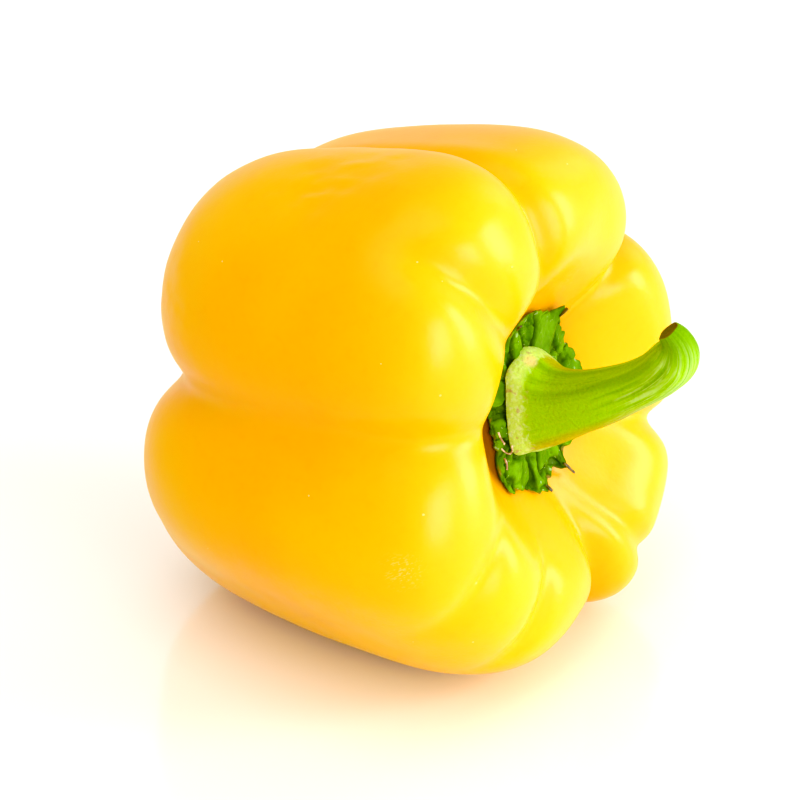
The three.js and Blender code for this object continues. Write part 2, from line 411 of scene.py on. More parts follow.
def valleys(x, y, z):
    """How deep the furrows and creases cut at points, in millimetres."""
    radius = np.hypot(x, y)
    angle = np.arctan2(y, x)
    height = np.clip(z / HALF_LENGTH, -1, 1)
    depth = np.zeros_like(radius)
    for at_shoulder, at_tip, shoulder, middle, tip, width in FURROWS:
        line = at_tip + (at_shoulder - at_tip) * (height + 1) / 2
        end = np.where(height > 0, shoulder, tip)
        depth += (middle + (end - middle) * height**2) * valley(radius, angle, line, width)
    run = np.clip((radius - CREASE_START) / CREASE_RUN, *CREASE_LIMITS)
    for inner, outer, deep, width, lowest in CREASES:
        shown = 1 / (1 + np.exp((lowest - z) / CREASE_FADE))
        depth += deep * shown * valley(radius, angle, inner + (outer - inner) * run, width)
    return depth * radius**2 / (radius**2 + FURROW_START**2)


# %% [markdown]
# The two ends need their own rules. At the top is the hollow that the calyx sits in. At the
# blossom end the lobes curl inwards to a shallow puckered dimple, with a small brown scar where
# the flower was. The pepper softens a little where it lies, so it rests on flat spots, as real
# fruit does.

# %% The hollow, the blossom dimple and the rule for the whole skin
HOLLOW_FLOOR = 26.0
HOLLOW_FLAT = 10.0
HOLLOW_CURVE = 0.05
HOLLOW_LEAN = 0.45
HOLLOW_LEAN_ANGLE = 70
HOLLOW_BLEND = 2.0
DIMPLE_DEPTH = 5.0
DIMPLE_RADIUS = 8.0
PUCKER_DEPTH = 0.35
PUCKERS = 13
PUCKER_RADIUS = 5.0
PUCKER_REACH = 2.5
PUCKER_WANDER = 1.5
NEVER_ZERO = 1e-300


def hollow_curve(angle):
    """How fast the hollow's wall curves up: it is steeper on one side."""
    return HOLLOW_CURVE * (1 + HOLLOW_LEAN * np.cos(angle - np.radians(HOLLOW_LEAN_ANGLE)))


def hollow_height(radius, angle):
    return HOLLOW_FLOOR + hollow_curve(angle) * np.maximum(radius - HOLLOW_FLAT, 0) ** 2


def dimple(radius, angle):
    """How deep the blossom end is drawn in, with small puckers round the scar."""
    pucker = PUCKER_DEPTH * np.sin(PUCKERS * angle + PUCKER_WANDER * np.sin(3 * angle))
    ring = np.exp(-(((radius - PUCKER_RADIUS) / PUCKER_REACH) ** 2))
    return DIMPLE_DEPTH * np.exp(-((radius / DIMPLE_RADIUS) ** 2)) + pucker * ring


def soft_max(a, b, softness):
    return np.maximum(a, b) + softness * np.log1p(np.exp(-np.abs(a - b) / softness))


def fruit_distance(points):
    """About how far points lie outside the fruit's skin, in millimetres, negative inside."""
    x, y, z = points.T
    spread = 1 + TAPER * z / HALF_LENGTH
    swellings = [np.exp(-lobe_distance(lobe, x / spread, y / spread, z) / LOBE_BLEND) for lobe in LOBES]
    distance = -LOBE_BLEND * np.log(np.sum(swellings, axis=0) + NEVER_ZERO)
    distance += valleys(x, y, z)
    radius = np.hypot(x, y)
    angle = np.arctan2(y, x)
    distance += np.where(z < 0, dimple(radius, angle), 0)
    slope = 2 * hollow_curve(angle) * np.maximum(radius - HOLLOW_FLAT, 0)
    above_hollow = (z - hollow_height(radius, angle)) / np.hypot(1, slope)
    distance = soft_max(distance, above_hollow, HOLLOW_BLEND)
    rest_height = UPWARDS[2] * x + STEMWARDS[2] * z
    return np.maximum(distance, -REST_DEPTH - rest_height)


print("hollow", HOLLOW_FLOOR, "mm up the axis, dimple", DIMPLE_DEPTH, "mm deep")

# %% [markdown]
# A ray from the axis in every direction finds the skin: it walks outwards until the rule says
# outside, and then halves its last step again and again. Rows crowd towards the two ends, where
# the hollow and the dimple need them.

# %% Finding the skin
FRUIT_AROUND = 384
FRUIT_ROWS = 234
END_ROWS = 0.19
RAY_SPREAD = 14.0
RAY_START = 2.0
RAY_STEP = 2.0
HALVINGS = 24


def skin_points(directions):
    """Where rays from the axis leave the fruit."""
    starts = np.zeros_like(directions)
    starts[:, 2] = -RAY_SPREAD * directions[:, 2]
    far = np.full(len(directions), RAY_START + RAY_STEP)
    walking = np.arange(len(directions))
    while walking.size:
        at = starts[walking] + far[walking, None] * directions[walking]
        walking = walking[fruit_distance(at) <= 0]
        far[walking] += RAY_STEP
    near = far - RAY_STEP
    for _ in range(HALVINGS):
        middle = (near + far) / 2
        outside = fruit_distance(starts + middle[:, None] * directions) > 0
        far = np.where(outside, middle, far)
        near = np.where(outside, near, middle)
    return starts + far[:, None] * directions


def row_directions(rows, around, crowding):
    """Directions in rows from the blossom pole to the stem pole."""
    even = np.linspace(-np.pi / 2, np.pi / 2, rows + 2)[1:-1]
    latitude = np.repeat(even + crowding * np.sin(2 * even), around)
    angle = np.tile(2 * np.pi * np.arange(around) / around, rows)
    ring = np.cos(latitude)
    in_rows = np.stack([ring * np.cos(angle), ring * np.sin(angle), np.sin(latitude)], axis=1)
    return np.vstack([[0, 0, -1], in_rows, [0, 0, 1]])


fruit_shape = skin_points(row_directions(FRUIT_ROWS, FRUIT_AROUND, END_ROWS))
print("fruit from", fruit_shape.min(0).round(1), "to", fruit_shape.max(0).round(1), "mm")

# %% [markdown]
# The material has to know where the furrows, the hollow, the shoulders and the scar are. It can't
# find them from a texture, so the mesh carries each of them as a number from 0 to 1. The upper
# side also has a few patches where the skin has begun to wrinkle.

# %% The fruit's mesh and what it carries
FOLD_SHADE_FULL = 5.0
SCAR_RADIUS = 2.2
HOLLOW_SHADE_START = 24.0
HOLLOW_SHADE_FULL = 15.0
SHOULDER_SHEEN_START = 13.0
SHOULDER_SHEEN_RUN = 20.0
# painted shade: where the front shoulder leans over the calyx, the narrow gap is painted dark
CREVICE_SHADE_START = 16.5
CREVICE_SHADE_RUN = 2.5
CREVICE_SHADE_ANGLE = np.radians(80)
CREVICE_SHADE_REACH = 1.5
WRINKLED = [  # place in the fruit's frame, reach, strength
    ((44, 19.5, 2), 8, 1.0),
    ((46.9, 11.4, 11.5), 8, 0.5),
    ((29, 35, -22), 9, 0.6),
]

fruit = make_piece("pepper_fruit", fruit_shape, [], ball_faces(FRUIT_ROWS, FRUIT_AROUND))
from_axis = np.hypot(fruit_shape[:, 0], fruit_shape[:, 1])
hollow_shade = np.clip((HOLLOW_SHADE_START - from_axis) / (HOLLOW_SHADE_START - HOLLOW_SHADE_FULL), 0, 1)
facing = np.cos(np.arctan2(fruit_shape[:, 1], fruit_shape[:, 0]) - CREVICE_SHADE_ANGLE)
crevice_shade = np.clip((CREVICE_SHADE_START - from_axis) / CREVICE_SHADE_RUN, 0, 1)
crevice_shade *= np.clip(CREVICE_SHADE_REACH * facing, 0, 1)
wrinkled = np.zeros(len(fruit_shape))
for spot, reach, strength in WRINKLED:
    away = np.linalg.norm(fruit_shape - spot, axis=1)
    wrinkled += strength * np.exp(-((away / reach) ** 2))
# the fold and hollow masks carry painted shade for the furrows and the hollow round the calyx
paint_points(fruit, "fold_shade", np.clip(valleys(*fruit_shape.T) / FOLD_SHADE_FULL, 0, 1))
paint_points(fruit, "hollow", hollow_shade * (fruit_shape[:, 2] > 0))
# the shoulder mask carries a painted pale sheen on the stem end, the side that faces the lights
paint_points(fruit, "shoulder", np.clip((fruit_shape[:, 2] - SHOULDER_SHEEN_START) / SHOULDER_SHEEN_RUN, 0, 1))
paint_points(fruit, "crevice_shade", crevice_shade * (fruit_shape[:, 2] > 0))
paint_points(fruit, "scar", np.exp(-((from_axis / SCAR_RADIUS) ** 4)) * (fruit_shape[:, 2] < 0))
paint_points(fruit, "wrinkled", wrinkled)
print("fruit", len(fruit.data.polygons), "faces")

# %% [markdown]
# ## The skin
# Pepper skin is a clear waxy film over bright flesh, so light goes in, spreads sideways and comes
# out warmer. Subsurface scattering gives that glow. The wax shine is soft and takes on the colour
# of the skin, so its tint is faintly yellow. The colour drifts between lemon and amber over a few
# centimetres. The shoulders, which face the lights, get a painted pale sheen, and painted shade
# deepens the colour in the furrows and round the calyx. Where the front shoulder leans over the
# calyx, the narrow gap between them is painted a dark red-brown shade. Two places are scuffed.

# %% Skin finish
SKIN_LEMON = (0.86, 0.44, 0.0)
SKIN_AMBER = (0.86, 0.37, 0.0)
# painted sheen: a paler, faintly bluish yellow for the shoulders, which face the lights
SKIN_SHOULDER_SHEEN = (0.87, 0.46, 0.035)
# a deeper orange, used for random mottling and also as painted shade in the furrows and the hollow
SKIN_DEEP_TONE_AND_SHADE = (0.80, 0.22, 0.0)
# painted shade: the dark red brown of the shadowed gap under the calyx's front edge
SKIN_GAP_SHADE = (0.14, 0.022, 0.0)
SKIN_PALE = (0.96, 0.70, 0.30)
SCAR_BROWN = (0.12, 0.05, 0.015)
SCUFFS = [  # place, reach, direction of the scratches
    ((-10.7, 41.6, 27.5), 5.0, (0.3, 0.0, 1.0)),
    ((17.7, -10.3, 32.2), 4.5, (0.8, -0.6, 0.3)),
]
SCRATCH_SIZE = (4.0, 0.35)  # length and spacing in millimetres
SCRATCH_LIMITS = (0.52, 0.64)
DRIFT = (0.045, 0.35, 0.65, 2.0)  # spacing in metres, start, full and detail of the patches
MOTTLE = (0.0018, 0.45, 0.8)
SHOULDER_SHEEN_SHARE = 0.45
MOTTLE_SHARE = 0.08
FOLD_SHADE_SHARE = 0.25
HOLLOW_SHADE_SHARE = 0.35
CREVICE_SHADE_SHARE = 0.9
SCUFF_SHARE = 0.25


def skin_colour(tree, place):
    colour = blend_colours(tree, patches(tree, place, *DRIFT), SKIN_AMBER, SKIN_LEMON)
    # painted sheen: the shoulders are made paler because the lights fall on them
    colour = lay_over(tree, colour, stored(tree, "shoulder"), SHOULDER_SHEEN_SHARE, SKIN_SHOULDER_SHEEN)
    colour = lay_over(tree, colour, patches(tree, place, *MOTTLE), MOTTLE_SHARE, SKIN_DEEP_TONE_AND_SHADE)
    # painted shade: the colour deepens in the furrows and in the hollow round the calyx, where shade falls
    colour = lay_over(tree, colour, stored(tree, "fold_shade"), FOLD_SHADE_SHARE, SKIN_DEEP_TONE_AND_SHADE)
    colour = lay_over(tree, colour, stored(tree, "hollow"), HOLLOW_SHADE_SHARE, SKIN_DEEP_TONE_AND_SHADE)
    # painted shade: the narrow gap under the calyx's front edge is darkened
    colour = lay_over(tree, colour, stored(tree, "crevice_shade"), CREVICE_SHADE_SHARE, SKIN_GAP_SHADE)
    for spot, reach, direction in SCUFFS:
        scratch = step_between(tree, streaks(tree, place, direction, *SCRATCH_SIZE), *SCRATCH_LIMITS)
        worn = times(tree, scratch, near_spot(tree, place, spot, reach))
        colour = lay_over(tree, colour, worn, SCUFF_SHARE, SKIN_PALE)
    return blend_colours(tree, stored(tree, "scar"), colour, SCAR_BROWN)


# %% The wax and the glow of the skin
SKIN_ROUGHNESS = (0.27, 0.36)
SKIN_INPUTS = {
    "IOR": 1.32, "Specular Tint": (1.0, 1.0, 0.9, 1), "Subsurface Weight": 0.3,
    "Subsurface Radius": (1.0, 0.4, 0.05), "Subsurface Scale": 0.004,
}
WAX_SPACING = 0.02
GRAIN_SPACING = 0.0007
GRAIN_DEPTH = 0.00002


def skin_finish():
    material, tree, shader = new_finish("pepper_skin")
    place = object_place(tree)
    plug(tree, skin_colour(tree, place), shader.inputs["Base Color"])
    wax = noise(tree, place, WAX_SPACING)
    plug(tree, blend_numbers(tree, wax, *SKIN_ROUGHNESS), shader.inputs["Roughness"])
    set_inputs(shader, SKIN_INPUTS)
    add_bump(tree, shader, noise(tree, place, GRAIN_SPACING), GRAIN_DEPTH)
    return material


skin = skin_finish()
print(skin.name, "with", len(skin.node_tree.nodes), "nodes")

# %% [markdown]
# The skin isn't a perfect formula either: it has soft waves about a centimetre and a half apart,
# which break up the shine, and fine wrinkles in the patches painted above. Nodes press them in,
# inwards only, so the fruit never outgrows its solid.


# %% Soft waves in the skin
WRINKLES_DRAWN = (0.45, 1.0, 1.0)  # the wrinkles are drawn out along the part's X, lengthwise


def skin_waves(finish):
    sizes = {
        "Wave Spacing": 0.014, "Wave Depth": 0.0005, "Ripple Spacing": 0.004,
        "Ripple Depth": 0.00004, "Wrinkle Spacing": 0.0036, "Wrinkle Depth": 0.0013,
    }
    tree, given = start_tree("skin_waves", sizes)
    place = point_place(tree)
    wave = noise(tree, place, given["Wave Spacing"], detail=1.0)
    ripple = noise(tree, place, given["Ripple Spacing"], detail=1.0)
    drawn = vector_node(tree, "MULTIPLY", place, WRINKLES_DRAWN)
    wrinkle = noise(tree, drawn, given["Wrinkle Spacing"], detail=1.0)
    patch = times(tree, wrinkle, read_point(tree, "wrinkled"))
    pressed = times(tree, wave, given["Wave Depth"])
    rippled = times(tree, ripple, given["Ripple Depth"])
    creased = times(tree, patch, given["Wrinkle Depth"])
    total = sum_node(tree, "ADD", sum_node(tree, "ADD", pressed, rippled), creased)
    waved = push_along_normal(tree, given["Geometry"], times(tree, total, -1.0))
    end_tree(tree, waved, finish)
    return tree


grow(fruit, skin_waves(skin))
print("fruit mesh", len(fruit.data.vertices), "points")

# %% [markdown]
# A few pale specks of cork lie on the skin, flat and less than half a millimetre wide. A tree
# scatters them over the finished fruit, turns each to the skin and gives each its own size.

# %% Specks of cork
SPECK_INPUTS = {"Base Color": (0.92, 0.60, 0.14, 1), "Roughness": 0.6}
SPECK_WIDTH = 0.8  # the width and height of a speck for a length of 1
SPECK_HEIGHT = 0.3


def speck_finish():
    material, tree, shader = new_finish("cork_speck")
    set_inputs(shader, SPECK_INPUTS)
    return material


def speck_tree(finish):
    sizes = {"Specks Per Square Metre": 1500.0, "Smallest": 0.00010, "Largest": 0.00022, "Seed": 7}
    tree, given = start_tree("scattered_specks", sizes)
    spread = add_node(tree, "GeometryNodeDistributePointsOnFaces", distribute_method="RANDOM")
    plug(tree, given["Geometry"], spread.inputs["Mesh"])
    plug(tree, given["Specks Per Square Metre"], spread.inputs["Density"])
    plug(tree, given["Seed"], spread.inputs["Seed"])
    size = add_node(tree, "FunctionNodeRandomValue", data_type="FLOAT")
    plug(tree, given["Smallest"], size.inputs[2])
    plug(tree, given["Largest"], size.inputs[3])
    plug(tree, given["Seed"], size.inputs["Seed"])
    radius = size.outputs[1]
    speck = add_node(tree, "GeometryNodeMeshIcoSphere")
    speck.inputs["Radius"].default_value = 1.0
    speck.inputs["Subdivisions"].default_value = 3
    placed = add_node(tree, "GeometryNodeInstanceOnPoints")
    plug(tree, spread.outputs["Points"], placed.inputs["Points"])
    plug(tree, speck.outputs["Mesh"], placed.inputs["Instance"])
    plug(tree, spread.outputs["Rotation"], placed.inputs["Rotation"])
    width = times(tree, radius, SPECK_WIDTH)
    height = times(tree, radius, SPECK_HEIGHT)
    plug(tree, join_numbers(tree, radius, width, height), placed.inputs["Scale"])
    end_tree(tree, placed.outputs["Instances"], finish)
    return tree


specks = fruit.copy()
specks.data = fruit.data.copy()
specks.name = "cork_specks"
bpy.context.scene.collection.objects.link(specks)
grow(specks, speck_tree(speck_finish()))
specks.data.shade_smooth()
print("specks", len(specks.data.polygons), "faces")

# %% [markdown]
# ## The calyx
# The calyx is a leathery green collar. Its margin has pointed tips with shallow bays between
# them, it thins towards the edge, and radial folds run from the stem outwards. A flattened ball
# makes a closed plate: its lower half follows the hollow, and its upper half is the visible face.

# %% The calyx's plate
CALYX_AROUND = 480
CALYX_ROWS = 118
CALYX_SINK = 0.15
CALYX_CENTRE = 2.2
CALYX_EDGE = 0.75
CALYX_THINNING = 4
CALYX_ROUNDING = 0.2
CALYX_MARGIN = [  # angle, and the margin's distance from the axis
    (4, 16.2), (12, 16.6), (18, 14.8), (27, 13.0), (39, 11.2), (54, 10.4), (73, 11.1), (90, 10.5),
    (103, 10.3), (117, 10.7), (125, 12.8), (133, 14.6), (146, 15.6), (157, 14.6), (170, 15.6), (182, 17.2),
    (190, 15.6), (198, 15.6), (205, 17.4), (212, 15.8), (221, 16.2), (229, 18.2), (240, 15.8),
    (264, 16.4), (280, 15.2), (292, 14.4), (306, 15), (319, 17.6), (330, 15.4), (346, 15.8),
]
MARGIN_WAVES = [(23, 0.9, 0.2), (41, 2.3, 0.14), (67, 4.1, 0.1)]  # waves round, start, height
FOLDS = [  # angle, depth, width
    (351, 0.9, 0.7), (24, 0.5, 0.8), (62, 0.5, 0.7), (141, 0.7, 0.8), (168, 0.8, 0.7),
    (198, 0.9, 0.8), (218, 0.6, 0.7), (252, 0.8, 0.9), (287, 0.7, 0.8), (312, 0.6, 0.7),
]
FOLD_START = 7.0
FOLD_RUN = 5.0
FOLD_WANDER = np.radians(3)
FOLD_STRENGTH = 0.7
TIP_LIFT = 0.5
TIP_START = 14.5
TIP_RUN = 3.0
TIP_CURL = 8
BAY_CURVE = 1.4
AT_LEAST = 1e-6


def margin_radius(angle):
    """Distance of the calyx's edge from the axis, with bays that are hollow towards each tip."""
    places, radii = np.array(CALYX_MARGIN, float).T
    places = np.concatenate([[places[-1] - 360], places, [places[0] + 360]])
    radii = np.concatenate([[radii[-1]], radii, [radii[0]]])
    degrees = np.degrees(angle) % 360
    after = np.clip(np.searchsorted(places, degrees), 1, len(places) - 1)
    share = (degrees - places[after - 1]) / (places[after] - places[after - 1])
    low, high = radii[after - 1], radii[after]
    eased = np.where(high > low, share**BAY_CURVE, 1 - (1 - share) ** BAY_CURVE)
    edge = low + (high - low) * eased
    for waves, start, height in MARGIN_WAVES:
        edge = edge + height * np.sin(waves * angle + start)
    return edge


def calyx_points():
    """The plate's points, how far out each lies from 0 to 1, and its direction on the ball."""
    ball = row_directions(CALYX_ROWS, CALYX_AROUND, 0)
    angle = np.arctan2(ball[:, 1], ball[:, 0])
    share = np.hypot(ball[:, 0], ball[:, 1])
    edge = margin_radius(angle)
    radius = share * edge
    body = CALYX_CENTRE + (CALYX_EDGE - CALYX_CENTRE) * share**CALYX_THINNING
    side = np.clip(ball[:, 2] / CALYX_ROUNDING, -1, 1)
    height = hollow_height(radius, angle) - CALYX_SINK + (body + CALYX_SINK) * (side + 1) / 2
    outer = np.clip((radius - FOLD_START) / FOLD_RUN, 0, 1)
    turned = angle + FOLD_WANDER * np.sin(5 * share + 2 * angle)
    folds = sum(depth * valley(radius, turned, line, width) ** 2 for line, depth, width in FOLDS)
    lift = TIP_LIFT * np.clip((edge - TIP_START) / TIP_RUN, 0, 1) * share**TIP_CURL
    height += lift - FOLD_STRENGTH * folds * outer * (side + 1) / 2
    return np.stack([radius * np.cos(angle), radius * np.sin(angle), height], axis=1), share, ball


calyx_shape, calyx_share, calyx_ball = calyx_points()
calyx = make_piece("pepper_calyx", calyx_shape, [], ball_faces(CALYX_ROWS, CALYX_AROUND))
paint_points(calyx, "edge", calyx_share)
paint_points(calyx, "face", np.clip(calyx_ball[:, 2] / CALYX_ROUNDING, 0, 1))
paint_points(calyx, "turn_x", calyx_ball[:, 0] / np.maximum(calyx_share, AT_LEAST))
paint_points(calyx, "turn_y", calyx_ball[:, 1] / np.maximum(calyx_share, AT_LEAST))
print("calyx", len(calyx.data.polygons), "faces")

# %% [markdown]
# A calyx is like leather: soft cushions with narrow creases between them. The creases run mostly
# outwards from the stem, and smaller ones cross them. A noise passes through its middle value
# along thin winding lines, so those lines are the creases. Noise that changes fast round the
# plate and slowly outwards gives the long ones, and even noise gives the rest. How high each
# point lies between creases is stored, so that the finish can paint shade into the low places.

# %% Calyx finish
CALYX_GREEN = (0.062, 0.18, 0.0)
CALYX_LIGHT = (0.12, 0.285, 0.006)
# painted shade: the near-black green painted into the calyx's creases
CALYX_CREASE_SHADE = (0.008, 0.032, 0.0)
CALYX_GLINT = (0.45, 0.60, 0.25)
CALYX_DRY = (0.20, 0.12, 0.025)
CALYX_PATCH_SPACING = 0.004
CALYX_PATCH_LIMITS = (0.42, 0.62)
CREASE_SHADE_LIMITS = (0.8, 0.1)  # relief where the dark of a crease starts, and where it is full
CREASE_SHADE_SHARE = 0.7
GLINTS = (0.0015, 0.64, 0.72)  # spacing in metres, start and full
GLINT_SHARE = 0.6
RIM_SPACING = 0.002
RIM_RAGGED = 0.08
RIM_LIMITS = (1.035, 1.055)
CALYX_ROUGHNESS = (0.2, 0.45)
CALYX_INPUTS = {"IOR": 1.22, "Specular IOR Level": 0.35, "Specular Tint": (0.9, 1.0, 0.7, 1)}
CALYX_GRAIN_SPACING = 0.0012
CALYX_GRAIN_DEPTH = 0.0003


def calyx_finish():
    material, tree, shader = new_finish("calyx_skin")
    place = object_place(tree)
    patch = noise(tree, place, CALYX_PATCH_SPACING, detail=3.0)
    bright = step_between(tree, patch, *CALYX_PATCH_LIMITS)
    colour = blend_colours(tree, bright, CALYX_GREEN, CALYX_LIGHT)
    # painted shade: the low places between the cushions are darkened
    low = step_between(tree, stored(tree, "relief"), *CREASE_SHADE_LIMITS)
    colour = lay_over(tree, colour, low, CREASE_SHADE_SHARE, CALYX_CREASE_SHADE)
    # painted highlights: small pale spots stand in for glints of light on the wrinkles
    colour = lay_over(tree, colour, patches(tree, place, *GLINTS), GLINT_SHARE, CALYX_GLINT)
    ragged = times(tree, noise(tree, place, RIM_SPACING, detail=3.0), RIM_RAGGED)
    rim = sum_node(tree, "ADD", stored(tree, "edge"), ragged)
    colour = blend_colours(tree, step_between(tree, rim, *RIM_LIMITS), colour, CALYX_DRY)
    plug(tree, colour, shader.inputs["Base Color"])
    plug(tree, blend_numbers(tree, patch, *CALYX_ROUGHNESS), shader.inputs["Roughness"])
    set_inputs(shader, CALYX_INPUTS)
    add_bump(tree, shader, noise(tree, place, CALYX_GRAIN_SPACING), CALYX_GRAIN_DEPTH)
    return material


calyx_green = calyx_finish()
print(calyx_green.name, "with", len(calyx_green.node_tree.nodes), "nodes")


# %% Wrinkles in the calyx
def cushion(tree, wave, width):
    """0 along the lines where a noise is at its middle, 1 further from them."""
    away = sum_node(tree, "ABSOLUTE", sum_node(tree, "SUBTRACT", wave, 0.5))
    return step_between(tree, away, 0.0, width)


SWELL_MIDDLE = 0.55
SHORT_CREASE_RELIEF = 0.45


def calyx_wrinkles(finish):
    sizes = {
        "Ridges Round": 3.2, "Ridges Outwards": 2.5, "Ridge Spacing": 1.6,
        "Long Crease Depth": 0.0008, "Long Crease Width": 0.06,
        "Crease Spacing": 0.0045, "Short Crease Depth": 0.0004, "Short Crease Width": 0.04,
        "Swell": 0.0013, "Crinkle Spacing": 0.0009, "Crinkle Height": 0.00025,
    }
    tree, given = start_tree("calyx_wrinkles", sizes)
    turn_x = times(tree, read_point(tree, "turn_x"), given["Ridges Round"])
    turn_y = times(tree, read_point(tree, "turn_y"), given["Ridges Round"])
    outwards = times(tree, read_point(tree, "edge"), given["Ridges Outwards"])
    ridge_place = join_numbers(tree, turn_x, turn_y, outwards)
    ridge = noise(tree, ridge_place, given["Ridge Spacing"], detail=1.2)
    place = point_place(tree)
    wrinkle = noise(tree, place, given["Crease Spacing"], detail=1.5)
    crinkle = noise(tree, place, given["Crinkle Spacing"], detail=2.0)
    long = cushion(tree, ridge, given["Long Crease Width"])
    short = cushion(tree, wrinkle, given["Short Crease Width"])
    relief = times(tree, long, blend_numbers(tree, short, SHORT_CREASE_RELIEF, 1.0))
    kept = store(tree, given["Geometry"], "relief", relief)
    swell = times(tree, sum_node(tree, "SUBTRACT", ridge, SWELL_MIDDLE), given["Swell"])
    fine = times(tree, sum_node(tree, "SUBTRACT", crinkle, 0.5), given["Crinkle Height"])
    total = sum_node(tree, "ADD", swell, fine)
    for crease, depth in ((long, "Long Crease Depth"), (short, "Short Crease Depth")):
        sunk = times(tree, sum_node(tree, "SUBTRACT", crease, 1.0), given[depth])
        total = sum_node(tree, "ADD", total, sunk)
    shown = times(tree, total, read_point(tree, "face"))
    end_tree(tree, push_along_normal(tree, kept, shown), finish)
    return tree


grow(calyx, calyx_wrinkles(calyx_green))
print("calyx mesh", len(calyx.data.vertices), "points")

# %% [markdown]
# ## Dry tips and torn scraps
# The longest tips of the calyx have dried to thin brown hooks, and shreds of its edge have torn
# and curled up beside the front shoulder. Each is a short line of points. One tree sweeps a small
# flattened ring along all of them, thick at the root and fine at the tip.

# %% The lines of the dry pieces
DRY_TIPS = [  # points in the fruit's frame, from root to tip
    [(-14.6, -6.8, 28.4), (-15.4, -7.2, 29.0), (-16.2, -7.7, 29.2), (-16.9, -8.3, 29.3)],
    [(11.7, -10.0, 28.6), (12.3, -10.6, 29.3), (12.8, -11.1, 29.7)],
    [(-15.7, -0.6, 28.5), (-16.3, -0.7, 29.1), (-16.8, -0.9, 29.4)],
    [(15.1, 3.2, 28.7), (15.7, 3.3, 29.3), (16.0, 3.4, 29.7)],
]
SCRAPS = [
    [(-0.4, 10.6, 27.8), (-1.4, 10.8, 28.3), (-2.4, 10.4, 28.5), (-2.9, 9.8, 28.2)],
    [(-3.6, 10.3, 27.8), (-4.4, 10.0, 28.4), (-4.9, 9.2, 28.7), (-4.7, 8.4, 28.6), (-4.0, 8.0, 28.4)],
    [(-5.6, 9.8, 27.8), (-6.4, 10.1, 28.4), (-7.3, 10.5, 28.6)],
]


def line_piece(name, lines):
    """An object made of bare lines."""
    points = [point for line in lines for point in line]
    edges = []
    start = 0
    for line in lines:
        edges += [(start + i, start + i + 1) for i in range(len(line) - 1)]
        start += len(line)
    return make_piece(name, points, edges, [])


dry_tips = line_piece("dry_tips", DRY_TIPS)
dry_scraps = line_piece("dry_scraps", SCRAPS)
print(len(DRY_TIPS), "dry tips and", len(SCRAPS), "scraps")


# %% The finish and the tree of the dry pieces
TIP_BROWNS = ((0.04, 0.03, 0.004), (0.13, 0.075, 0.015))
SCRAP_PALES = ((0.30, 0.13, 0.05), (0.80, 0.55, 0.36))
DRY_PATCHES = (0.0009, 0.42, 0.62)
DRY_ROUGHNESS = 0.45
DRY_GRAIN_SPACING = 0.0005
DRY_GRAIN_DEPTH = 0.0002


def dry_finish(name, under, over):
    material, tree, shader = new_finish(name)
    place = object_place(tree)
    colour = blend_colours(tree, patches(tree, place, *DRY_PATCHES), under, over)
    plug(tree, colour, shader.inputs["Base Color"])
    shader.inputs["Roughness"].default_value = DRY_ROUGHNESS
    add_bump(tree, shader, noise(tree, place, DRY_GRAIN_SPACING, detail=3.0), DRY_GRAIN_DEPTH)
    return material


def dry_tree(finish):
    sizes = {
        "Root Width": 0.00034, "Tip Share": 0.35, "Flatness": 0.6, "Crumple": 0.0002,
        "Crumple Spacing": 0.0011, "Steps Along": 40, "Steps Around": 20,
    }
    tree, given = start_tree("dry_pieces", sizes)
    share = add_node(tree, "GeometryNodeSplineParameter").outputs["Factor"]
    ring = add_node(tree, "GeometryNodeCurvePrimitiveCircle", mode="RADIUS")
    plug(tree, given["Steps Around"], ring.inputs["Resolution"])
    plug(tree, given["Root Width"], ring.inputs["Radius"])
    pressed = add_node(tree, "GeometryNodeTransform")
    plug(tree, ring.outputs["Curve"], pressed.inputs["Geometry"])
    plug(tree, join_numbers(tree, 1.0, given["Flatness"], 1.0), pressed.inputs["Scale"])
    thick = blend_numbers(tree, share, 1.0, given["Tip Share"])
    slim = add_node(tree, "GeometryNodeSetCurveRadius")
    plug(tree, smooth_path(tree, given["Geometry"], given["Steps Along"]), slim.inputs["Curve"])
    plug(tree, thick, slim.inputs["Radius"])
    sweep = add_node(tree, "GeometryNodeCurveToMesh")
    plug(tree, slim.outputs[0], sweep.inputs["Curve"])
    plug(tree, pressed.outputs[0], sweep.inputs["Profile Curve"])
    sweep.inputs["Fill Caps"].default_value = True
    crumple = noise(tree, point_place(tree), given["Crumple Spacing"], detail=2.0)
    lumps = times(tree, sum_node(tree, "SUBTRACT", crumple, 0.5), given["Crumple"])
    end_tree(tree, push_along_normal(tree, sweep.outputs["Mesh"], lumps), finish)
    return tree


brown = dry_finish("dry_calyx_tip", *TIP_BROWNS)
pale = dry_finish("dry_calyx_scrap", *SCRAP_PALES)
grow(dry_tips, dry_tree(brown))
grow(dry_scraps, dry_tree(pale), **{"Root Width": 0.00018, "Tip Share": 0.3, "Flatness": 0.5})
for piece in (dry_tips, dry_scraps):
    piece.data.shade_smooth()
print("dry pieces", len(dry_tips.data.polygons) + len(dry_scraps.data.polygons), "faces")

# %% [markdown]
# ## The stem
# The stem follows a path: straight up out of the calyx, then bending over to the cut end. Its
# foot flares into blunt corners, and fine fibres run its whole length. A node tree sweeps a
# circle along the path and then sets each point's distance from the path by rule, so the flare,
# the ribs and the fibres are all inputs.

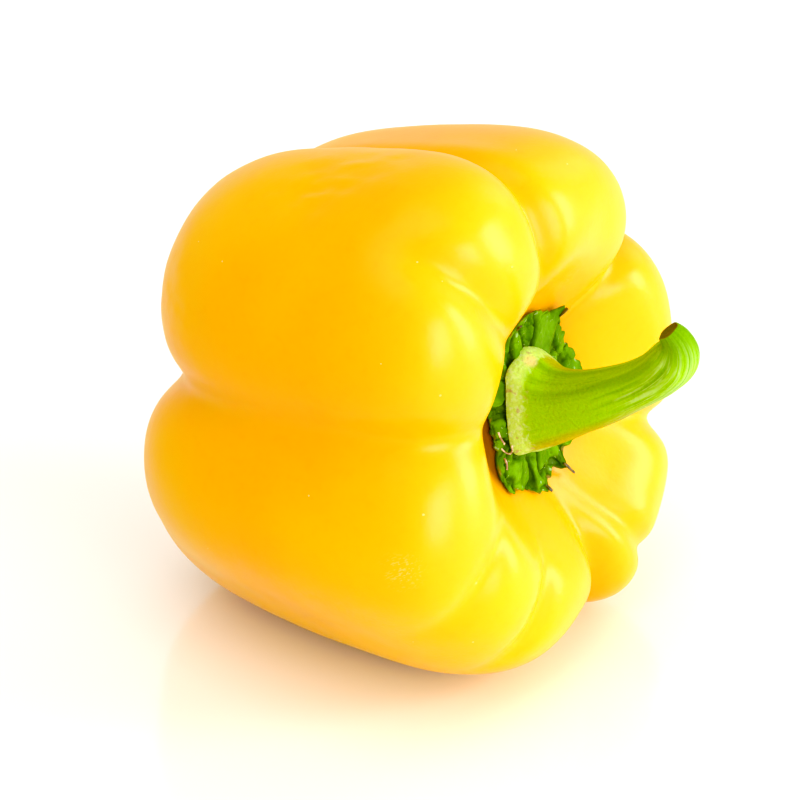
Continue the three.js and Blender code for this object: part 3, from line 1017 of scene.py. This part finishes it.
# %% The stem's path
STEM_PATH = [
    (0.3, 0, 27.9), (0.4, 0, 31.2), (0.8, 0, 34), (1.7, 0, 37.3), (3.1, -0.2, 41.3),
    (5, -0.5, 45.5), (6.8, -0.7, 49), (8.6, -0.8, 51.9), (10.6, -0.8, 54.3), (12.6, -0.7, 56.1),
    (14.7, -0.4, 57), (16.5, 0, 56.9), (18, 0.5, 56.1),
]
STEM_RADII = [  # share of the length, and the shaft's radius there
    (0, 4.9), (0.35, 4.8), (0.6, 4.1), (0.72, 4.05), (0.8, 4.1), (0.87, 3.75), (0.94, 2.9), (1, 2.1),
]
FOOT_MARGIN = [  # share of a turn, and the foot's distance from the axis
    (0, 10.2), (0.006, 10.3), (0.05, 10.1), (0.094, 10.4), (0.139, 9), (0.186, 8.2), (0.244, 8.1),
    (0.303, 8.6), (0.369, 9.5), (0.439, 8.9), (0.542, 9.8), (0.644, 8.7), (0.744, 9.6),
    (0.847, 8.8), (0.931, 9.1), (1, 10.2),
]
UNDERSIDE = (0.27, -0.42, -0.87)  # the side of the stem that faces down and to the front

steps = [(i, i + 1) for i in range(len(STEM_PATH) - 1)]
stem = make_piece("pepper_stem", STEM_PATH, steps, [])
stem_length = sum(float((Vector(b) - Vector(a)).length) for a, b in zip(STEM_PATH, STEM_PATH[1:]))
print("stem", round(stem_length, 1), "mm along its middle")

# %% [markdown]
# The stem is lime green and striped lengthwise, palest on the outside of its bend. The foot has
# a pale yellow-green band with a few corky specks, the underside is tinged with tan, and the cut
# end has dried olive brown.

# %% Stem finish
STEM_LIME = (0.24, 0.47, 0.0)
STEM_DARK = (0.10, 0.26, 0.0)
STEM_PALE = (0.40, 0.60, 0.13)
STEM_FOOT = (0.44, 0.64, 0.10)
STEM_FROST = (0.62, 0.72, 0.38)
STEM_TAN = (0.40, 0.26, 0.01)
STEM_CORK = (0.40, 0.24, 0.10)
STEM_SCAR = (0.85, 0.52, 0.26)
STEM_CUT = (0.16, 0.10, 0.015)
SCAR_SPOT = (8.7, 1.7, 29.6)
SCAR_REACH = 1.8
SCAR_SHARE = 0.8
STEM_LAYERS = [  # colour, strength, and stored numbers with where each starts and is full
    (STEM_DARK, 0.6, [("streak", 0.48, 0.62)]),
    (STEM_DARK, 0.45, [("fibre", 0.46, 0.34)]),
    (STEM_PALE, 0.8, [("fibre", 0.42, 0.62), ("under", -0.1, 0.5), ("share", 0.35, 0.6)]),
    (STEM_PALE, 0.25, [("fibre", 0.55, 0.75)]),
    (STEM_TAN, 0.7, [("under", 0.75, 0.99), ("share", 0.8, 0.3)]),
    (STEM_TAN, 0.5, [("under", -0.88, -0.99)]),
    (STEM_DARK, 0.75, [("share", 0.84, 0.97)]),
]
FOOT_LIMITS = (0.72, 0.95)
FOOT_WAVER_SPACING = 0.002
FOOT_WAVER = 0.25
FOOT_MARKS = [  # colour, strength, and the spacing, start, full and detail of its patches
    (STEM_FROST, 0.4, (0.0007, 0.48, 0.66, 4.0)),
    (STEM_CORK, 0.75, (0.0013, 0.60, 0.70, 3.0)),
]
FOOT_MARK_LIMITS = (0.5, 0.8)


def stem_colour(tree, place):
    colour = STEM_LIME
    for over, strength, limits in STEM_LAYERS:
        share = strength
        for name, start, full in limits:
            share = times(tree, step_between(tree, stored(tree, name), start, full), share)
        colour = blend_colours(tree, share, colour, over)
    foot = stored(tree, "foot")
    waver = times(tree, noise(tree, place, FOOT_WAVER_SPACING), FOOT_WAVER)
    band = step_between(tree, sum_node(tree, "ADD", foot, waver), *FOOT_LIMITS)
    colour = blend_colours(tree, band, colour, STEM_FOOT)
    on_foot = step_between(tree, foot, *FOOT_MARK_LIMITS)
    for over, strength, sizes in FOOT_MARKS:
        mark = times(tree, patches(tree, place, *sizes), on_foot)
        colour = lay_over(tree, colour, mark, strength, over)
    scar = near_spot(tree, place, SCAR_SPOT, SCAR_REACH)
    colour = lay_over(tree, colour, scar, SCAR_SHARE, STEM_SCAR)
    return blend_colours(tree, stored(tree, "cut"), colour, STEM_CUT)


# %% The shine of the stem
STEM_ROUGHNESS = (0.38, 0.55)
STEM_INPUTS = {
    "IOR": 1.25, "Specular Tint": (0.9, 1.0, 0.5, 1), "Subsurface Weight": 0.05,
    "Subsurface Radius": (0.6, 1.0, 0.05), "Subsurface Scale": 0.002,
}
STEM_GRAIN_SPACING = 0.0006
STEM_GRAIN_DEPTH = 0.0002


def stem_finish():
    material, tree, shader = new_finish("stem_skin")
    place = object_place(tree)
    plug(tree, stem_colour(tree, place), shader.inputs["Base Color"])
    rough = blend_numbers(tree, stored(tree, "fibre"), *STEM_ROUGHNESS)
    plug(tree, rough, shader.inputs["Roughness"])
    set_inputs(shader, STEM_INPUTS)
    add_bump(tree, shader, noise(tree, place, STEM_GRAIN_SPACING, detail=3.0), STEM_GRAIN_DEPTH)
    return material


stem_green = stem_finish()
print(stem_green.name, "with", len(stem_green.node_tree.nodes), "nodes")

# %% [markdown]
# The tree is built in four steps. The first sweeps the circle. The second works out the radius
# from the curves above, and the third adds the fibres. The last closes the cut end: it draws the
# flat cap in and down again and again, which leaves a rim and a shallow dry hollow.


# %% Step 1: a tube that knows its place
def swept_tube(tree, given):
    """A plain tube along the path. Each point keeps its share, its middle and its turn."""
    share = add_node(tree, "GeometryNodeSplineParameter").outputs["Factor"]
    path = smooth_path(tree, given["Geometry"], given["Steps Along"])
    path = store(tree, path, "share", share)
    path = store(tree, path, "middle", point_place(tree), "FLOAT_VECTOR")
    ring = add_node(tree, "GeometryNodeCurvePrimitiveCircle", mode="RADIUS")
    plug(tree, given["Steps Around"], ring.inputs["Resolution"])
    ring.inputs["Radius"].default_value = MM
    circle = store(tree, ring.outputs["Curve"], "around", share)
    sweep = add_node(tree, "GeometryNodeCurveToMesh")
    plug(tree, path, sweep.inputs["Curve"])
    plug(tree, circle, sweep.inputs["Profile Curve"])
    sweep.inputs["Fill Caps"].default_value = True
    return sweep.outputs["Mesh"]


# %% Step 2: how far each point stands from the path
def number_curve(tree, place, stops):
    """A smooth curve through stops from place 0 to place 1."""
    made = add_node(tree, "ShaderNodeFloatCurve")
    highest = max(value for _, value in stops)
    points = made.mapping.curves[0].points
    while len(points) < len(stops):
        points.new(0.5, 0.5)
    for point, (at, value) in zip(points, stops):
        point.location = (at, value / highest)
    made.mapping.update()
    plug(tree, place, made.inputs["Value"])
    return times(tree, made.outputs[0], highest)


RIBS_LOST_AT_FOOT = 0.5


def stem_reach(tree, given, arm):
    """The radius in millimetres, and how much of it is the foot's flare."""
    share = read_point(tree, "share")
    along = times(tree, share, stem_length)
    climbed = sum_node(tree, "DIVIDE", along, given["Foot Height"])
    fall = sum_node(tree, "POWER", climbed, given["Flare Power"])
    flare = sum_node(tree, "EXPONENT", times(tree, fall, -1.0))
    forwards = vector_node(tree, "DOT_PRODUCT", arm, tuple(FRONTWARDS))
    upwards = vector_node(tree, "DOT_PRODUCT", arm, tuple(UPWARDS))
    turn = sum_node(tree, "ARCTAN2", forwards, upwards)
    turn_share = sum_node(tree, "FRACT", sum_node(tree, "DIVIDE", turn, 2 * np.pi))
    margin = number_curve(tree, turn_share, FOOT_MARGIN)
    radius = blend_numbers(tree, flare, number_curve(tree, share, STEM_RADII), margin)
    around = times(tree, read_point(tree, "around"), 2 * np.pi)
    rib_turn = sum_node(tree, "ADD", around, given["Rib Turn"])
    rib = sum_node(tree, "COSINE", times(tree, rib_turn, given["Ribs"]))
    shown = sum_node(tree, "SUBTRACT", 1.0, times(tree, flare, RIBS_LOST_AT_FOOT))
    ribbed = times(tree, rib, times(tree, given["Rib Height"], shown))
    return times(tree, radius, sum_node(tree, "ADD", 1.0, ribbed)), flare


# %% Step 3: fibres
FIBRE_ALONG = 0.3  # the stem's whole length counts as this much, next to 1 for its radius
FIBRE_SPACING = 0.11
FIBRE_ROUGHNESS = 0.65
STREAK_SPACING = 0.45


def stem_fibres(tree):
    """Two noises drawn out along the stem: fine fibres, and broader streaks."""
    turn = times(tree, read_point(tree, "around"), 2 * np.pi)
    along = times(tree, read_point(tree, "share"), FIBRE_ALONG)
    spot = join_numbers(tree, sum_node(tree, "COSINE", turn), sum_node(tree, "SINE", turn), along)
    fibre = noise(tree, spot, FIBRE_SPACING, detail=4.0, roughness=FIBRE_ROUGHNESS)
    return fibre, noise(tree, spot, STREAK_SPACING)


# %% Step 4: the cut end
CUT_STEPS = [  # how far the cap moves along the stem in millimetres, and how much it shrinks
    (0.05, 0.90), (-0.35, 0.88), (-0.30, 0.85), (-0.12, 0.70), (-0.06, 0.55), (0.02, 0.40),
]
CAP_SHARE = 0.9999  # only the cap's points lie past this share of the length


def cut_end(tree, tube):
    """Draws the cap at the cut in, step by step, into a rim and a shallow hollow."""
    geometry = tube
    chosen = sum_node(tree, "GREATER_THAN", read_point(tree, "share"), CAP_SHARE)
    for push, shrink in CUT_STEPS:
        drawn = add_node(tree, "GeometryNodeExtrudeMesh", mode="FACES")
        plug(tree, geometry, drawn.inputs["Mesh"])
        plug(tree, chosen, drawn.inputs["Selection"])
        drawn.inputs["Offset Scale"].default_value = push * MM
        smaller = add_node(tree, "GeometryNodeScaleElements", domain="FACE")
        plug(tree, drawn.outputs["Mesh"], smaller.inputs["Geometry"])
        plug(tree, drawn.outputs["Top"], smaller.inputs["Selection"])
        smaller.inputs["Scale"].default_value = shrink
        chosen = drawn.outputs["Top"]
        geometry = store(tree, smaller.outputs["Geometry"], "cut", 1.0, chosen=chosen)
    return geometry


def stem_tree(finish):
    sizes = {
        "Steps Along": 220, "Steps Around": 144, "Foot Height": 6.0, "Flare Power": 1.4,
        "Ribs": 5.0, "Rib Turn": 0.6, "Rib Height": 0.03, "Fibre Height": 0.24,
    }
    tree, given = start_tree("stem_along_path", sizes)
    kept = swept_tube(tree, given)
    middle = read_point(tree, "middle", "FLOAT_VECTOR")
    arm = vector_node(tree, "SUBTRACT", point_place(tree), middle)
    reach, flare = stem_reach(tree, given, arm)
    fibre, streak = stem_fibres(tree)
    raised = times(tree, sum_node(tree, "SUBTRACT", fibre, 1.0), given["Fibre Height"])
    longer = scale_vector(tree, arm, sum_node(tree, "ADD", reach, raised))
    under = times(tree, vector_node(tree, "DOT_PRODUCT", arm, UNDERSIDE), 1 / MM)
    numbers = {"fibre": fibre, "streak": streak, "foot": flare, "under": under, "cut": 0.0}
    for name, value in numbers.items():
        kept = store(tree, kept, name, value)
    shaped = add_node(tree, "GeometryNodeSetPosition")
    plug(tree, kept, shaped.inputs["Geometry"])
    plug(tree, vector_node(tree, "ADD", middle, longer), shaped.inputs["Position"])
    smooth = add_node(tree, "GeometryNodeSetShadeSmooth")
    plug(tree, cut_end(tree, shaped.outputs[0]), smooth.inputs["Geometry"])
    end_tree(tree, smooth.outputs[0], finish)
    return tree


grow(stem, stem_tree(stem_green))
print("stem mesh", len(stem.data.vertices), "points")

# %% [markdown]
# ## Each piece takes its solid's place
# The fine skins stand for the three solids, and the specks and dry pieces belong to them. Nothing
# on a pepper moves, so all of them ride on the one body.

# %% Replace the solids
for piece, node, slot in (
    (fruit, "fruit", "skin"),
    (specks, "fruit", "skin"),
    (calyx, "calyx", "calyx"),
    (dry_tips, "calyx", "calyx"),
    (dry_scraps, "calyx", "calyx"),
    (stem, "stem", "stem"),
):
    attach(piece, "root")
    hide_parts(node)
    print(piece.name, "takes the place of", node)

# %% [markdown]
# ## Floor and light
# The pepper lies on a white polished table in a bright white studio. One soft light stands at the
# right and a weak one behind. A wide one faces the stem, and another hangs overhead. White
# surroundings fill the rest.

# %% Stage
FLOOR_SIZE = 4.0
TABLE_INPUTS = {
    "Base Color": (0.97, 0.94, 0.88, 1), "Metallic": 0.09, "IOR": 1.6, "Roughness": 0.14,
}


def floor_finish():
    material, tree, shader = new_finish("white_table")
    set_inputs(shader, TABLE_INPUTS)
    return material


half = FLOOR_SIZE / 2
floor_mesh = bpy.data.meshes.new("table_top")
corners = [(-half, -half, 0), (half, -half, 0), (half, half, 0), (-half, half, 0)]
floor_mesh.from_pydata(corners, [], [(0, 1, 2, 3)])
floor_mesh.materials.append(floor_finish())
floor = bpy.data.objects.new("table_top", floor_mesh)
bpy.context.scene.collection.objects.link(floor)
print("table", FLOOR_SIZE, "m wide")


# %% Lights
def soft_light(name, direction, distance, size, power):
    """An area light, of this width and height, that faces the pepper from a direction."""
    data = bpy.data.lights.new(name, "AREA")
    data.shape = "RECTANGLE"
    data.size, data.size_y = size
    data.energy = power
    lamp = bpy.data.objects.new(name, data)
    toward = Vector(direction).normalized()
    lamp.location = Vector(AXIS_MIDDLE * MM) + toward * distance
    lamp.rotation_euler = (-toward).to_track_quat("-Z", "Y").to_euler()
    bpy.context.scene.collection.objects.link(lamp)
    return lamp


soft_light("right_softbox", (0.80, 0.42, 0.22), 0.9, (0.26, 0.60), 5.8)
soft_light("rear_softbox", (0.25, 0.80, 0.55), 1.0, (0.40, 0.60), 0.8)
soft_light("stem_side_fill", (1.0, -0.30, 0.12), 1.0, (0.50, 0.80), 9.0)
soft_light("overhead", (-0.1, -0.35, 1.0), 1.2, (1.0, 1.0), 5.2)

world = bpy.data.worlds.new("white_studio")
world.use_nodes = True
set_inputs(world.node_tree.nodes["Background"], {"Color": (1, 1, 1, 1), "Strength": 0.86})
bpy.context.scene.world = world
view = bpy.context.scene.view_settings
view.view_transform = "Standard"
print("lights and surroundings set")

# %% [markdown]
# The photograph was developed with clean colours: in its yellows hardly any blue is left except
# in the shine. A curve on the blue channel does the same here. It takes the weak blue of the
# surroundings' reflection out and leaves white as it is.

# %% Develop the blue channel
BLUE_CURVE = [
    (0.0, 0.0), (0.025, 0.0), (0.05, 0.008), (0.09, 0.055), (0.15, 0.13), (0.25, 0.20), (0.5, 0.46),
    (1.0, 1.0),
]

view.use_curve_mapping = True
blue = view.curve_mapping.curves[2].points
while len(blue) < len(BLUE_CURVE):
    blue.new(0.5, 0.5)
for point, place in zip(blue, BLUE_CURVE):
    point.location = place
view.curve_mapping.update()
print("blue curve through", len(BLUE_CURVE), "points")

# %% [markdown]
# ## The camera
# The photograph looks down on the pepper by 30 degrees, from 33 degrees round towards the stem.
# A long lens at arm's length keeps the lobes from swelling towards the viewer.

# %% Camera
VIEW_TURN = np.radians(33)
VIEW_RISE = np.radians(30)
VIEW_DISTANCE = 0.62
PICTURE = 800  # pixels along one side
SCALE = 5850.0  # pixels to a metre at the pepper
MIDDLE_AT = (393, 378)  # where the middle of the axis lands in the picture
SENSOR_WIDTH = 36.0
NEAREST = 0.01

camera_data = bpy.data.cameras.new("camera")
camera_data.sensor_width = SENSOR_WIDTH
camera_data.lens = SCALE * VIEW_DISTANCE / PICTURE * SENSOR_WIDTH
camera_data.shift_x = (PICTURE / 2 - MIDDLE_AT[0]) / PICTURE
camera_data.shift_y = (MIDDLE_AT[1] - PICTURE / 2) / PICTURE
camera_data.clip_start = NEAREST
camera = bpy.data.objects.new("camera", camera_data)
level = np.cos(VIEW_RISE)
back = Vector((np.sin(VIEW_TURN) * level, -np.cos(VIEW_TURN) * level, np.sin(VIEW_RISE)))
camera.location = Vector(AXIS_MIDDLE * MM) + back * VIEW_DISTANCE
camera.rotation_mode = "QUATERNION"
camera.rotation_quaternion = (-back).to_track_quat("-Z", "Y")
bpy.context.scene.collection.objects.link(camera)
bpy.context.scene.camera = camera
print("lens", round(camera_data.lens, 1), "mm")
